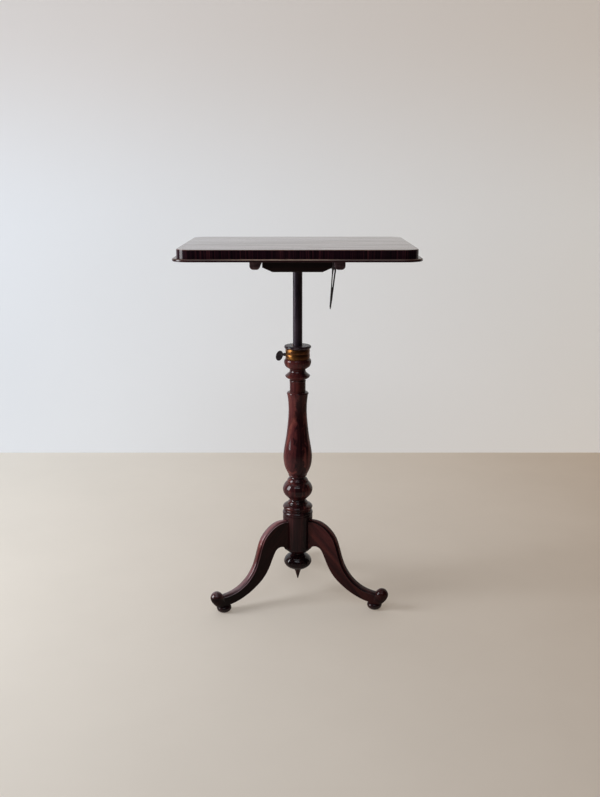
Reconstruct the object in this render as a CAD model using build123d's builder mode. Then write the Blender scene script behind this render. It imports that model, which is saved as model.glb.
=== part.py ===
from build123d import *
import os
from math import sin, cos, radians, hypot

os.makedirs("parts", exist_ok=True)

# Reading stand: a polished top on two battens, pivoted on a bearer block that
# turns on a steel rod; the rod slides in a turned column on three carved legs.
# Millimetres, +Z up, front of the stand towards -Y, floor at z = 0.

# ------------------------------------------------------------------ dimensions
axis_y = -12.8         # column axis, set so that the whole object is centred on the origin
base_turn = 2.5         # the tripod stands this much round from the top's centre line
leg_spread = 122.6      # angle between the two front legs

# top
top_w = 483.0
top_d = 382.5
top_corner = 31.0
top_z = 816.0
under_z = 793.2
veneer_t = 1.2
band_t = 3.0
lip_t = 4.7
lip_drop = 0.9          # the lip stands this much below the board
lip_out = 9.0
lip_in = 12.0

# battens under the top
batten_x = 86.0
batten_w = 21.7
batten_h = 20.6
batten_round = 8.0
batten_len = 300.0
batten_screw_y = (-128.0, -22.0, 126.0)

# bearer block
block_half = 74.7
block_front = -60.0
block_back = 57.6
block_low = 758.8
block_high = 793.1
block_flat = 53.0
block_end_low = 768.4
pivot_y = 48.0
pivot_z = 783.0
pivot_r = 4.0

# lifting rod
rod_r = 10.5
rod_low = 355.0
tenon_r = 8.0
tenon_top = 789.0
nut_floor = 778.0

# prop
prop_y = -91.7
prop_z = 770.2
prop_pin_r = 1.5
lug_x0 = 75.2
lug_x1 = 76.7

# column
bore_r = 11.3
bush_in = 10.56
bush_out = 13.2
bush_low = 505.0
collar_top = 591.4
cap_seat = 588.0
band_low = 561.5
band_high = 584.8
band_seat = 25.4
shoulder_z = 485.8
screw_z = 570.6
screw_r = 3.2
pad_r = 3.0

# hub and legs
hub_r = 34.1
leg_t = 21.5
bead_t = 15.6
quirk = 3.0
foot_R = 194.3
foot_h = 15.6
spigot_r = 5.0
toe_R = 196.6
toe_z = 13.4
toe_lean = 33.0

leg_angles = {"left": 270.0 + base_turn - leg_spread / 2, "right": 270.0 + base_turn + leg_spread / 2,
              "rear": 90.0 + base_turn}

column = Axis((0, axis_y, 0), (0, 0, 1))
front_plane = Plane(origin=(0, axis_y, 0), x_dir=(1, 0, 0), z_dir=(0, -1, 0))


def level(z):
    """Horizontal plane at height z, centred on the column axis."""
    return Plane(origin=(0, axis_y, z), x_dir=(1, 0, 0), z_dir=(0, 0, 1))


def leg_side(angle):
    """Plane through the column axis and one leg: local x runs outwards, local y up."""
    a = radians(angle)
    return Plane(origin=(0, axis_y, 0), x_dir=(cos(a), sin(a), 0), z_dir=(sin(a), -cos(a), 0))


def leg_level(angle, z):
    """Horizontal plane at height z whose local x runs out along one leg."""
    a = radians(angle)
    return Plane(origin=(0, axis_y, z), x_dir=(cos(a), sin(a), 0), z_dir=(0, 0, 1))


def leg_point(angle, radius, z=0.0):
    a = radians(angle)
    return (radius * cos(a), axis_y + radius * sin(a), z)


def inset(points, distance):
    """Points of an open curve moved to its right-hand side by distance."""
    out = []
    for i, (x, y) in enumerate(points):
        x0, y0 = points[max(i - 1, 0)]
        x1, y1 = points[min(i + 1, len(points) - 1)]
        length = hypot(x1 - x0, y1 - y0)
        out.append((x + (y1 - y0) / length * distance, y - (x1 - x0) / length * distance))
    return out


# ------------------------------------------------------------------------- hub
with BuildPart() as hub:
    with BuildSketch(front_plane):
        with BuildLine():
            Polyline((0, 100.2), (13.6, 100.2))
            Spline((13.6, 100.2), (16.0, 101.0), (21.4, 104.4), (27.2, 108.6), (32.2, 113.4), (34.1, 119.5))
            Polyline((34.1, 119.5), (34.1, 195.6), (33.2, 196.2), (33.4, 197.0))
            ThreePointArc((33.4, 197.0), (34.7, 201.6), (31.6, 206.2))
            Polyline((31.6, 206.2), (0, 206.2), (0, 100.2))
        make_face()
    revolve(axis=column)
    # socket for the baluster's spigot, and hole for the pendant's spigot
    with BuildSketch(level(162.0)):
        Circle(16.0)
    extrude(amount=50.0, mode=Mode.SUBTRACT)
    with BuildSketch(level(95.0)):
        Circle(8.0)
    extrude(amount=41.0, mode=Mode.SUBTRACT)
    # three dovetail sockets, open at the bottom so that the legs slide up into them
    for angle in leg_angles.values():
        with BuildSketch(leg_level(angle, 90.0)):
            Polygon((40.0, -3.4), (40.0, 3.4), (23.2, 5.8), (23.2, -5.8), align=None)
        extrude(amount=93.0, mode=Mode.SUBTRACT)
hub.part.label = "hub"
export_step(hub.part, "parts/hub.step")

# ------------------------------------------------------------------------ legs
leg_top = [(26.0, 185.2), (34.1, 186.7), (48.0, 186.6), (60.0, 183.4), (71.0, 177.8), (81.2, 169.8),
           (90.4, 160.2), (97.6, 148.8), (102.9, 135.2), (107.5, 120.2), (112.1, 105.0),
           (117.3, 91.4), (124.4, 78.8), (133.8, 66.8), (145.6, 56.2), (158.6, 48.2),
           (171.8, 43.2), (184.8, 40.6), (199.0, 39.6)]
leg_under = [(26.0, 112.4), (34.1, 118.8), (41.0, 124.0), (48.0, 126.8), (55.0, 126.6), (61.4, 123.8),
             (66.2, 118.2), (71.0, 109.0), (76.4, 96.8), (82.6, 83.6), (90.6, 70.4), (101.4, 57.8),
             (115.2, 46.4), (129.8, 36.6), (144.8, 28.9), (159.4, 23.1), (172.8, 19.4), (183.0, 17.8)]

for leg_name, angle in leg_angles.items():
    a = radians(angle)
    side = leg_side(angle)
    with BuildPart() as leg:
        # the rounded bead that runs along the top of the leg
        with BuildSketch(side):
            with BuildLine():
                Spline(*leg_top)
                Polyline(leg_top[-1], (204.0, 30.0), (203.0, 24.0), (202.6, foot_h), (186.0, foot_h), leg_under[-1])
                Spline(*leg_under)
                Line(leg_under[0], leg_top[0])
            make_face()
        extrude(amount=bead_t / 2, both=True)
        crest = leg.edges().filter_by(GeomType.BSPLINE).sort_by(Axis.Z)[-2:]
        fillet(crest, 5.0)
        # the full-width blank below the bead, its top edge set down to leave a quirk
        lowered = inset(leg_top, quirk)
        with BuildSketch(side):
            with BuildLine():
                Spline(*lowered)
                Polyline(lowered[-1], (203.0, 24.0), (202.6, foot_h), (186.0, foot_h), leg_under[-1])
                Spline(*leg_under)
                Line(leg_under[0], lowered[0])
            make_face()
        extrude(amount=leg_t / 2, both=True)
        # the end against the hub is coped to the hub's curve
        with BuildSketch(level(90.0)):
            Circle(hub_r)
        extrude(amount=110.0, mode=Mode.SUBTRACT)
        # dovetail tongue
        with BuildSketch(leg_level(angle, 121.0)):
            Polygon((35.6, -4.0), (35.6, 4.0), (23.2, 5.78), (23.2, -5.78), align=None)
        extrude(amount=62.0)
        # carved egg that ends the toe, leaning outwards over the foot
        lean = radians(toe_lean)
        toe = leg_point(angle, toe_R, toe_z)
        with BuildSketch(Plane(origin=toe, x_dir=(cos(a) * cos(lean), sin(a) * cos(lean), -sin(lean)),
                               z_dir=(sin(a), -cos(a), 0))):
            with BuildLine():
                Line((0, 0), (10.6, 0))
                Spline((10.6, 0), (12.1, 7.0), (13.8, 15.0), (14.6, 23.6), (13.9, 31.0), (11.2, 36.9), (6.6, 40.6), (0, 42.0),
                       tangents=((0.2, 1.0), (-1.0, 0)))
                Line((0, 42.0), (0, 0))
            make_face()
        revolve(axis=Axis(toe, (cos(a) * sin(lean), sin(a) * sin(lean), cos(lean))))
        with BuildSketch(Plane(origin=leg_point(angle, toe_R, 0.0))):
            Circle(30.0)
        extrude(amount=foot_h, mode=Mode.SUBTRACT)
        # hole for the foot's spigot
        with BuildSketch(Plane(origin=leg_point(angle, foot_R, 0.0))):
            Circle(spigot_r)
        extrude(amount=28.0, mode=Mode.SUBTRACT)
    leg.part.label = f"leg_{leg_name}"
    export_step(leg.part, f"parts/leg_{leg_name}.step")

    # turned bun foot with its spigot
    with BuildPart() as foot:
        with BuildSketch(Plane(origin=leg_point(angle, foot_R, 0.0), x_dir=(1, 0, 0), z_dir=(0, -1, 0))):
            with BuildLine():
                Polyline((0, 0), (8.8, 0))
                Spline((8.8, 0), (12.6, 2.0), (15.5, 5.4), (16.6, 9.6), (15.8, 12.8), (13.4, 15.0))
                Polyline((13.4, 15.0), (12.0, foot_h), (spigot_r, foot_h), (spigot_r, 28.0), (0, 28.0), (0, 0))
            make_face()
        revolve(axis=Axis(leg_point(angle, foot_R, 0.0), (0, 0, 1)))
    foot.part.label = f"foot_{leg_name}"
    export_step(foot.part, f"parts/foot_{leg_name}.step")

# --------------------------------------------------------------- pendant drop
with BuildPart() as pendant:
    with BuildSketch(front_plane):
        with BuildLine():
            Polyline((0, 136.0), (8.0, 136.0), (8.0, 100.2), (13.4, 100.2), (13.4, 98.6))
            Spline((13.4, 98.6), (17.4, 97.0), (25.4, 92.4), (30.8, 85.6), (32.1, 79.2), (29.8, 72.6),
                   (22.8, 66.2), (14.4, 61.9), (9.4, 60.4))
            Spline((9.4, 60.4), (7.7, 57.0), (5.2, 50.0), (2.9, 41.8), (0.9, 34.4))
            Polyline((0.9, 34.4), (0, 33.6), (0, 136.0))
        make_face()
    revolve(axis=column)
pendant.part.label = "pendant"
export_step(pendant.part, "parts/pendant.step")

# -------------------------------------------------------------------- baluster
with BuildPart() as baluster:
    with BuildSketch(front_plane):
        with BuildLine():
            Polyline((0, 162.0), (16.0, 162.0), (16.0, 206.2), (30.4, 206.2), (30.4, 207.0))
            ThreePointArc((30.4, 207.0), (32.3, 208.8), (31.3, 210.6))
            Spline((31.3, 210.6), (33.3, 212.5), (34.1, 214.8), (33.0, 217.6), (29.6, 220.3), (25.0, 221.8))
            Polyline((25.0, 221.8), (23.4, 222.1), (23.2, 222.8))
            Spline((23.2, 222.8), (22.6, 226.0), (20.4, 229.0), (18.5, 231.4), (18.4, 233.6))
            Polyline((18.4, 233.6), (20.4, 234.8))
            Spline((20.4, 234.8), (26.5, 240.8), (31.0, 246.4), (33.3, 252.2), (34.0, 258.0), (32.3, 265.0),
                   (28.6, 271.2), (25.6, 274.0))
            Polyline((25.6, 274.0), (24.4, 274.4), (24.3, 275.2))
            Spline((24.3, 275.2), (23.7, 278.4), (21.5, 282.2), (18.4, 285.2))
            Spline((18.4, 285.2), (17.7, 287.2), (18.6, 289.2))
            Polyline((18.6, 289.2), (21.0, 290.0), (21.3, 291.2), (20.6, 292.2))
            Spline((20.6, 292.2), (25.3, 301.0), (30.0, 313.0), (32.1, 325.0), (32.6, 335.0), (31.7, 348.0), (29.0, 365.0),
                   (26.1, 382.0), (23.8, 400.0), (22.2, 415.0), (21.0, 430.0), (20.5, 444.0), (20.8, 456.0),
                   (21.7, 468.0), (23.3, 479.6))
            ThreePointArc((23.3, 479.6), (24.3, 482.8), (22.4, 485.3))
            Polyline((22.4, 485.3), (21.6, shoulder_z), (0, shoulder_z), (0, 162.0))
        make_face()
    revolve(axis=column)
    # socket for the upper column, and bore for the rod
    with BuildSketch(level(466.0)):
        Circle(15.4)
    extrude(amount=40.0, mode=Mode.SUBTRACT)
    with BuildSketch(level(195.0)):
        Circle(bore_r)
    extrude(amount=280.0, mode=Mode.SUBTRACT)
baluster.part.label = "baluster"
export_step(baluster.part, "parts/baluster.step")

# ---------------------------------------------------------------- upper column
with BuildPart() as upper_column:
    with BuildSketch(front_plane):
        with BuildLine():
            Polyline((bush_out, 466.0), (15.4, 466.0), (15.4, shoulder_z), (17.7, shoulder_z), (17.75, 508.6), (17.3, 509.2))
            ThreePointArc((17.3, 509.2), (18.5, 511.2), (17.3, 513.2))
            Polyline((17.3, 513.2), (17.5, 515.2), (20.0, 516.2))
            Spline((20.0, 516.2), (24.2, 518.2), (26.9, 520.9), (27.7, 522.4))
            Polyline((27.7, 522.4), (27.7, 523.8))
            Spline((27.7, 523.8), (26.3, 525.0), (22.3, 528.2), (18.9, 531.8), (17.7, 535.0), (17.9, 538.4))
            Polyline((17.9, 538.4), (18.1, 538.9), (19.4, 539.2))
            Spline((19.4, 539.2), (22.6, 541.0), (25.4, 543.2))
            Polyline((25.4, 543.2), (26.4, 543.8))
            Spline((26.4, 543.8), (28.6, 547.4), (29.9, 551.6), (30.3, 555.6), (29.4, 559.4), (27.4, band_low))
            Polyline((27.4, band_low), (band_seat, band_low), (band_seat, band_high), (20.0, band_high), (20.0, cap_seat),
                     (bush_out, cap_seat), (bush_out, 466.0))
        make_face()
    revolve(axis=column)
    # below the brass bush the bore is only as wide as the rod needs
    with BuildSketch(level(466.0)):
        Circle(bush_out)
        Circle(bore_r, mode=Mode.SUBTRACT)
    extrude(amount=bush_low - 466.0)
    # hole for the clamping screw, from the left
    with BuildSketch(Plane(origin=(0, axis_y, screw_z), x_dir=(0, 1, 0), z_dir=(-1, 0, 0))):
        Circle(screw_r + 0.06)
    extrude(amount=40.0, mode=Mode.SUBTRACT)
upper_column.part.label = "upper_column"
export_step(upper_column.part, "parts/upper_column.step")

with BuildPart() as collar_cap:
    with BuildSketch(front_plane):
        with BuildLine():
            Polyline((bush_out, cap_seat), (20.0, cap_seat), (20.0, band_high), (26.9, band_high))
            Spline((26.9, band_high), (28.9, 585.5), (29.8, 587.0), (29.9, 588.8), (29.3, 590.3), (28.3, 591.1))
            Polyline((28.3, 591.1), (27.5, collar_top), (bush_out, collar_top), (bush_out, cap_seat))
        make_face()
    revolve(axis=column)
collar_cap.part.label = "collar_cap"
export_step(collar_cap.part, "parts/collar_cap.step")

# brass band with two shallow reeds
with BuildPart() as collar_band:
    with BuildSketch(front_plane):
        with BuildLine():
            Polyline((band_seat, band_low), (26.5, band_low), (26.8, 562.3))
            ThreePointArc((26.8, 562.3), (27.35, 567.4), (26.9, 572.4))
            Polyline((26.9, 572.4), (26.2, 573.0), (26.2, 573.6), (26.8, 574.2))
            ThreePointArc((26.8, 574.2), (27.3, 579.0), (26.8, 583.8))
            Polyline((26.8, 583.8), (26.4, band_high), (band_seat, band_high), (band_seat, band_low))
        make_face()
    revolve(axis=column)
    with BuildSketch(Plane(origin=(0, axis_y, screw_z), x_dir=(0, 1, 0), z_dir=(-1, 0, 0))):
        Circle(screw_r + 0.06)
    extrude(amount=40.0, mode=Mode.SUBTRACT)
collar_band.part.label = "collar_band"
export_step(collar_band.part, "parts/collar_band.step")

# brass bush that guides the rod
with BuildPart() as rod_bush:
    with BuildSketch(level(bush_low)):
        Circle(bush_out)
        Circle(bush_in, mode=Mode.SUBTRACT)
    extrude(amount=collar_top - bush_low)
    with BuildSketch(Plane(origin=(0, axis_y, screw_z), x_dir=(0, 1, 0), z_dir=(-1, 0, 0))):
        Circle(screw_r + 0.06)
    extrude(amount=40.0, mode=Mode.SUBTRACT)
rod_bush.part.label = "rod_bush"
export_step(rod_bush.part, "parts/rod_bush.step")

# -------------------------------------------------------------- clamping screw
with BuildPart() as clamp_pad:
    with BuildSketch(Plane(origin=(-10.6, axis_y, screw_z), x_dir=(0, 1, 0), z_dir=(-1, 0, 0))):
        Circle(pad_r)
    extrude(amount=2.6)
    with BuildSketch(Plane(origin=(-11.8, axis_y, screw_z), x_dir=(0, 1, 0), z_dir=(-1, 0, 0))):
        Circle(1.66)
    extrude(amount=1.4, mode=Mode.SUBTRACT)
clamp_pad.part.label = "clamp_pad"
export_step(clamp_pad.part, "parts/clamp_pad.step")

with BuildPart() as thumb_screw:
    # forged oval thumb plate, set a little askew
    with BuildSketch(Plane(origin=(-40.6, axis_y + 1.7, screw_z - 2.8), x_dir=(1, 0, 0), z_dir=(0, -1, 0))):
        Ellipse(7.7, 11.5, rotation=-17.0)
    extrude(amount=3.4)
    fillet(thumb_screw.edges().filter_by(lambda e: e.length > 30), 1.2)
    # pintle in the pad, threaded shank, shouldered collar
    with BuildSketch(Plane(origin=(0, axis_y, screw_z), x_dir=(1, 0, 0), z_dir=(0, -1, 0))):
        with BuildLine():
            Polyline((-11.9, 0), (-11.9, 1.6), (-13.3, 1.6), (-13.3, 2.9), (-13.8, screw_r), (-27.8, screw_r),
                     (-28.1, 3.5), (-30.9, 3.6), (-31.6, 2.7), (-32.8, 3.0), (-34.4, 3.3), (-36.4, 2.6), (-36.4, 0), (-11.9, 0))
        make_face()
    revolve(axis=Axis((0, axis_y, screw_z), (1, 0, 0)))
thumb_screw.part.label = "thumb_screw"
export_step(thumb_screw.part, "parts/thumb_screw.step")

# ------------------------------------------------------------------ lifting rod
with BuildPart() as rod:
    with BuildSketch(front_plane):
        with BuildLine():
            Polyline((0, rod_low), (9.3, rod_low), (rod_r, rod_low + 1.2), (rod_r, block_low), (tenon_r, block_low),
                     (tenon_r, tenon_top - 1.0), (tenon_r - 1.0, tenon_top), (0, tenon_top), (0, rod_low))
        make_face()
    revolve(axis=column)
rod.part.label = "rod"
export_step(rod.part, "parts/rod.step")

with BuildPart() as rod_washer:
    with BuildSketch(level(nut_floor)):
        Circle(14.0)
        Circle(tenon_r, mode=Mode.SUBTRACT)
    extrude(amount=1.8)
rod_washer.part.label = "rod_washer"
export_step(rod_washer.part, "parts/rod_washer.step")

with BuildPart() as rod_nut:
    with BuildSketch(level(nut_floor + 1.8)):
        Rectangle(19.0, 19.0)
        Circle(tenon_r, mode=Mode.SUBTRACT)
    extrude(amount=7.4)
    chamfer(rod_nut.edges().group_by(Axis.Z)[-1].filter_by(GeomType.LINE), 0.8)
rod_nut.part.label = "rod_nut"
export_step(rod_nut.part, "parts/rod_nut.step")

# ----------------------------------------------------------------- bearer block
plate_x0 = 61.6
plate_x1 = 73.6
plate_y0 = -57.0
plate_y1 = -6.0
plate_t = 3.0
notch_y = (-55.4, -44.0, -36.0, -28.0, -20.0)
plate_screw_y = (-49.6, -11.4)

with BuildPart() as block:
    with BuildSketch(Plane(origin=(0, axis_y + block_back, 0), x_dir=(1, 0, 0), z_dir=(0, -1, 0))):
        Polygon((-block_half, block_end_low), (-block_flat, block_low), (block_flat, block_low),
                (block_half, block_end_low), (block_half, block_high), (-block_half, block_high), align=None)
    extrude(amount=block_back - block_front)
    # the back edge is rounded about the pivot so that the top can turn over it
    back_edge = block.edges().filter_by(Axis.X).sort_by(lambda e: e.center().Y + e.center().Z)[-1]
    fillet(back_edge, block_back - pivot_y)
    front_edges = block.edges().filter_by(lambda e: abs(e.center().Y - axis_y - block_front) < 0.01
                                          and e.center().Z < block_high - 1.0)
    chamfer(front_edges, 1.0)
    # hole for the rod's tenon and recess for its nut
    with BuildSketch(level(block_low - 1.0)):
        Circle(tenon_r + 0.06)
    extrude(amount=30.0, mode=Mode.SUBTRACT)
    with BuildSketch(level(nut_floor)):
        Circle(15.2)
    extrude(amount=20.0, mode=Mode.SUBTRACT)
    # holes for the two pivot screws
    for sign in (-1, 1):
        with BuildSketch(Plane(origin=(sign * 44.0, axis_y + pivot_y, pivot_z), x_dir=(0, 1, 0), z_dir=(sign, 0, 0))):
            Circle(pivot_r)
        extrude(amount=40.0, mode=Mode.SUBTRACT)
    # seat for the rack plate, with a lead-in at the front edge
    with BuildSketch(Plane(origin=(plate_x0, axis_y, 0), x_dir=(0, 1, 0), z_dir=(1, 0, 0))):
        Polygon((block_front - 0.1, block_high - plate_t - 0.1), (block_front - 0.1, block_high + 1.0),
                (plate_y1, block_high + 1.0), (plate_y1, block_high - plate_t), (plate_y0, block_high - plate_t),
                (plate_y0 - 0.6, block_high - plate_t - 0.1), align=None)
    extrude(amount=plate_x1 - plate_x0, mode=Mode.SUBTRACT)
    for y in plate_screw_y:
        with BuildSketch(Plane(origin=((plate_x0 + plate_x1) / 2, axis_y + y, block_high))):
            Circle(1.5)
        extrude(amount=-15.0, mode=Mode.SUBTRACT)
block.part.label = "block"
export_step(block.part, "parts/block.step")

with BuildPart() as rack_plate:
    with BuildSketch(Plane(origin=((plate_x0 + plate_x1) / 2, axis_y + (plate_y0 + plate_y1) / 2, block_high - plate_t))):
        Rectangle(plate_x1 - plate_x0, plate_y1 - plate_y0)
    extrude(amount=plate_t)
    # notches for the prop's point
    with BuildSketch(Plane(origin=(plate_x0 - 1.0, axis_y, 0), x_dir=(0, 1, 0), z_dir=(1, 0, 0))):
        for y in notch_y:
            Polygon((y - 1.9, block_high + 0.2), (y + 1.9, block_high + 0.2), (y + 0.5, block_high - 2.1),
                    (y - 0.3, block_high - 2.1), align=None)
    extrude(amount=plate_x1 - plate_x0 + 2.0, mode=Mode.SUBTRACT)
    for y in plate_screw_y:
        with BuildSketch(Plane(origin=((plate_x0 + plate_x1) / 2, axis_y + y, 0), x_dir=(1, 0, 0), z_dir=(0, -1, 0))):
            Polygon((0, block_high + 0.1), (2.8, block_high + 0.1), (2.8, block_high - 0.3), (1.5, block_high - 1.8),
                    (1.5, block_high - 4.0), (0, block_high - 4.0), align=None)
        revolve(axis=Axis(((plate_x0 + plate_x1) / 2, axis_y + y, 0), (0, 0, 1)), mode=Mode.SUBTRACT)
rack_plate.part.label = "rack_plate"
export_step(rack_plate.part, "parts/rack_plate.step")

with BuildPart() as rack_screws:
    for y in plate_screw_y:
        with BuildSketch(Plane(origin=((plate_x0 + plate_x1) / 2, axis_y + y, 0), x_dir=(1, 0, 0), z_dir=(0, -1, 0))):
            Polygon((0, block_high - 0.1), (2.8, block_high - 0.1), (2.8, block_high - 0.3), (1.5, block_high - 1.8),
                    (1.5, block_high - 12.0), (0, block_high - 14.6), align=None)
        revolve(axis=Axis(((plate_x0 + plate_x1) / 2, axis_y + y, 0), (0, 0, 1)))
        with BuildSketch(Plane(origin=((plate_x0 + plate_x1) / 2, axis_y + y, block_high + 0.2))):
            Rectangle(7.0, 0.7, rotation=20)
        extrude(amount=-0.9, mode=Mode.SUBTRACT)
rack_screws.part.label = "rack_screws"
export_step(rack_screws.part, "parts/rack_screws.step")

# round-headed pivot screws, driven into the block through the battens
batten_out = batten_x + batten_w / 2
with BuildPart() as pivot_screws:
    for sign in (-1, 1):
        with BuildSketch(Plane(origin=(0, axis_y + pivot_y, pivot_z), x_dir=(1, 0, 0), z_dir=(0, -1, 0))):
            with BuildLine():
                head = sign * (batten_out + 0.25)
                Polyline((sign * 44.0, 0), (sign * 44.0, pivot_r - 1.0), (sign * 45.0, pivot_r), (head, pivot_r), (head, 7.2))
                ThreePointArc((head, 7.2), (head + sign * 2.4, 4.6), (head + sign * 3.3, 0))
                Line((head + sign * 3.3, 0), (sign * 44.0, 0))
            make_face()
        revolve(axis=Axis((0, axis_y + pivot_y, pivot_z), (1, 0, 0)))
        with BuildSketch(Plane(origin=(sign * (batten_out + 2.4), axis_y + pivot_y, pivot_z), x_dir=(0, 1, 0), z_dir=(sign, 0, 0))):
            Rectangle(16.0, 1.1, rotation=35)
        extrude(amount=4.0, mode=Mode.SUBTRACT)
pivot_screws.part.label = "pivot_screws"
export_step(pivot_screws.part, "parts/pivot_screws.step")

# -------------------------------------------------------------------------- top
screw_spots = [(sign * batten_x, y) for sign in (-1, 1) for y in batten_screw_y]

with BuildPart() as top_board:
    with BuildSketch(level(under_z)):
        RectangleRounded(top_w - 2 * lip_in, top_d - 2 * lip_in, top_corner - lip_in)
    extrude(amount=lip_t)
    with BuildSketch(level(under_z + lip_t)):
        RectangleRounded(top_w - 2 * band_t, top_d - 2 * band_t, top_corner - band_t)
    extrude(amount=top_z - veneer_t - under_z - lip_t)
    for x, y in screw_spots:
        with BuildSketch(Plane(origin=(x, axis_y + y, under_z))):
            Circle(2.0)
        extrude(amount=13.0, mode=Mode.SUBTRACT)
top_board.part.label = "top_board"
export_step(top_board.part, "parts/top_board.step")

with BuildPart() as top_veneer:
    with BuildSketch(level(top_z - veneer_t)):
        RectangleRounded(top_w, top_d, top_corner)
    extrude(amount=veneer_t)
    fillet(top_veneer.edges().group_by(Axis.Z)[-1], 0.8)
top_veneer.part.label = "top_veneer"
export_step(top_veneer.part, "parts/top_veneer.step")

with BuildPart() as edge_banding:
    with BuildSketch(level(under_z + lip_t)):
        RectangleRounded(top_w, top_d, top_corner)
        RectangleRounded(top_w - 2 * band_t, top_d - 2 * band_t, top_corner - band_t, mode=Mode.SUBTRACT)
    extrude(amount=top_z - veneer_t - under_z - lip_t)
edge_banding.part.label = "edge_banding"
export_step(edge_banding.part, "parts/edge_banding.step")

with BuildPart() as lip_moulding:
    with BuildSketch(level(under_z - lip_drop)):
        RectangleRounded(top_w + 2 * lip_out, top_d + 2 * lip_out, top_corner + lip_out)
    extrude(amount=lip_t + lip_drop)
    rim = lip_moulding.edges().group_by(Axis.Z)
    fillet(rim[-1], 2.9)
    fillet(lip_moulding.edges().group_by(Axis.Z)[0], 1.5)
    with BuildSketch(level(under_z - lip_drop)):
        RectangleRounded(top_w - 2 * lip_in, top_d - 2 * lip_in, top_corner - lip_in)
    extrude(amount=lip_t + lip_drop, mode=Mode.SUBTRACT)
lip_moulding.part.label = "lip_moulding"
export_step(lip_moulding.part, "parts/lip_moulding.step")

# --------------------------------------------------------------------- battens
plate_half = 15.0
for name, sign in (("left", -1), ("right", 1)):
    with BuildPart() as batten:
        r = batten_w / 2
        low = under_z - batten_h
        with BuildSketch(Plane(origin=(sign * batten_x, axis_y + batten_len / 2, 0), x_dir=(1, 0, 0), z_dir=(0, -1, 0))):
            with BuildLine():
                c = batten_round
                k = c * (1 - 0.5 ** 0.5)
                Polyline((-r, low + c), (-r, under_z), (r, under_z), (r, low + c))
                ThreePointArc((r, low + c), (r - k, low + k), (r - c, low))
                Line((r - c, low), (c - r, low))
                ThreePointArc((c - r, low), (k - r, low + k), (-r, low + c))
            make_face()
        extrude(amount=batten_len)
        ends = batten.edges().filter_by(lambda e: abs(abs(e.center().Y - axis_y) - batten_len / 2) < 0.01
                                        and e.center().Z < under_z - 0.5)
        fillet(ends, 1.6)
        # hole for the pivot screw
        with BuildSketch(Plane(origin=(sign * (batten_x - batten_w), axis_y + pivot_y, pivot_z), x_dir=(0, 1, 0), z_dir=(sign, 0, 0))):
            Circle(pivot_r + 0.06)
        extrude(amount=2 * batten_w, mode=Mode.SUBTRACT)
        # counterbored holes for the wood screws
        for y in batten_screw_y:
            with BuildSketch(Plane(origin=(sign * batten_x, axis_y + y, 0), x_dir=(1, 0, 0), z_dir=(0, -1, 0))):
                Polygon((0, low - 1.0), (4.3, low - 1.0), (4.3, low + 6.6), (2.0, low + 9.0), (2.0, under_z + 1.0),
                        (0, under_z + 1.0), align=None)
            revolve(axis=Axis((sign * batten_x, axis_y + y, 0), (0, 0, 1)), mode=Mode.SUBTRACT)
        if sign > 0:
            # the prop's eye plate is let in flush
            with BuildSketch(Plane(origin=(batten_x - batten_w / 2 - 1.0, axis_y, 0), x_dir=(0, 1, 0), z_dir=(1, 0, 0))):
                Polygon((prop_y - plate_half, 768.0), (prop_y + plate_half, 768.0), (prop_y + plate_half, 791.6),
                        (prop_y - plate_half, 791.6), align=None)
            extrude(amount=lug_x1 - (batten_x - batten_w / 2) + 1.0, mode=Mode.SUBTRACT)
            # hollow for the prop's outer eye to turn in
            with BuildSketch(Plane(origin=(lug_x1 - 0.5, axis_y + prop_y, prop_z), x_dir=(0, 1, 0), z_dir=(1, 0, 0))):
                Circle(3.9)
            extrude(amount=80.8 - lug_x1 + 0.5, mode=Mode.SUBTRACT)
            for dy in (-10.4, 10.4):
                with BuildSketch(Plane(origin=(lug_x1, axis_y + prop_y + dy, 785.6), x_dir=(0, 1, 0), z_dir=(1, 0, 0))):
                    Circle(1.4)
                extrude(amount=12.0, mode=Mode.SUBTRACT)
    batten.part.label = f"batten_{name}"
    export_step(batten.part, f"parts/batten_{name}.step")

with BuildPart() as batten_screws:
    low = under_z - batten_h
    for x, y in screw_spots:
        with BuildSketch(Plane(origin=(x, axis_y + y, 0), x_dir=(1, 0, 0), z_dir=(0, -1, 0))):
            Polygon((0, low + 6.2), (4.1, low + 6.2), (4.1, low + 6.8), (2.0, low + 9.0), (2.0, under_z + 9.0),
                    (0, under_z + 12.8), align=None)
        revolve(axis=Axis((x, axis_y + y, 0), (0, 0, 1)))
        with BuildSketch(Plane(origin=(x, axis_y + y, low + 6.0))):
            Rectangle(9.0, 1.0, rotation=x * 0.7 + y)
        extrude(amount=1.1, mode=Mode.SUBTRACT)
batten_screws.part.label = "batten_screws"
export_step(batten_screws.part, "parts/batten_screws.step")

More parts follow.
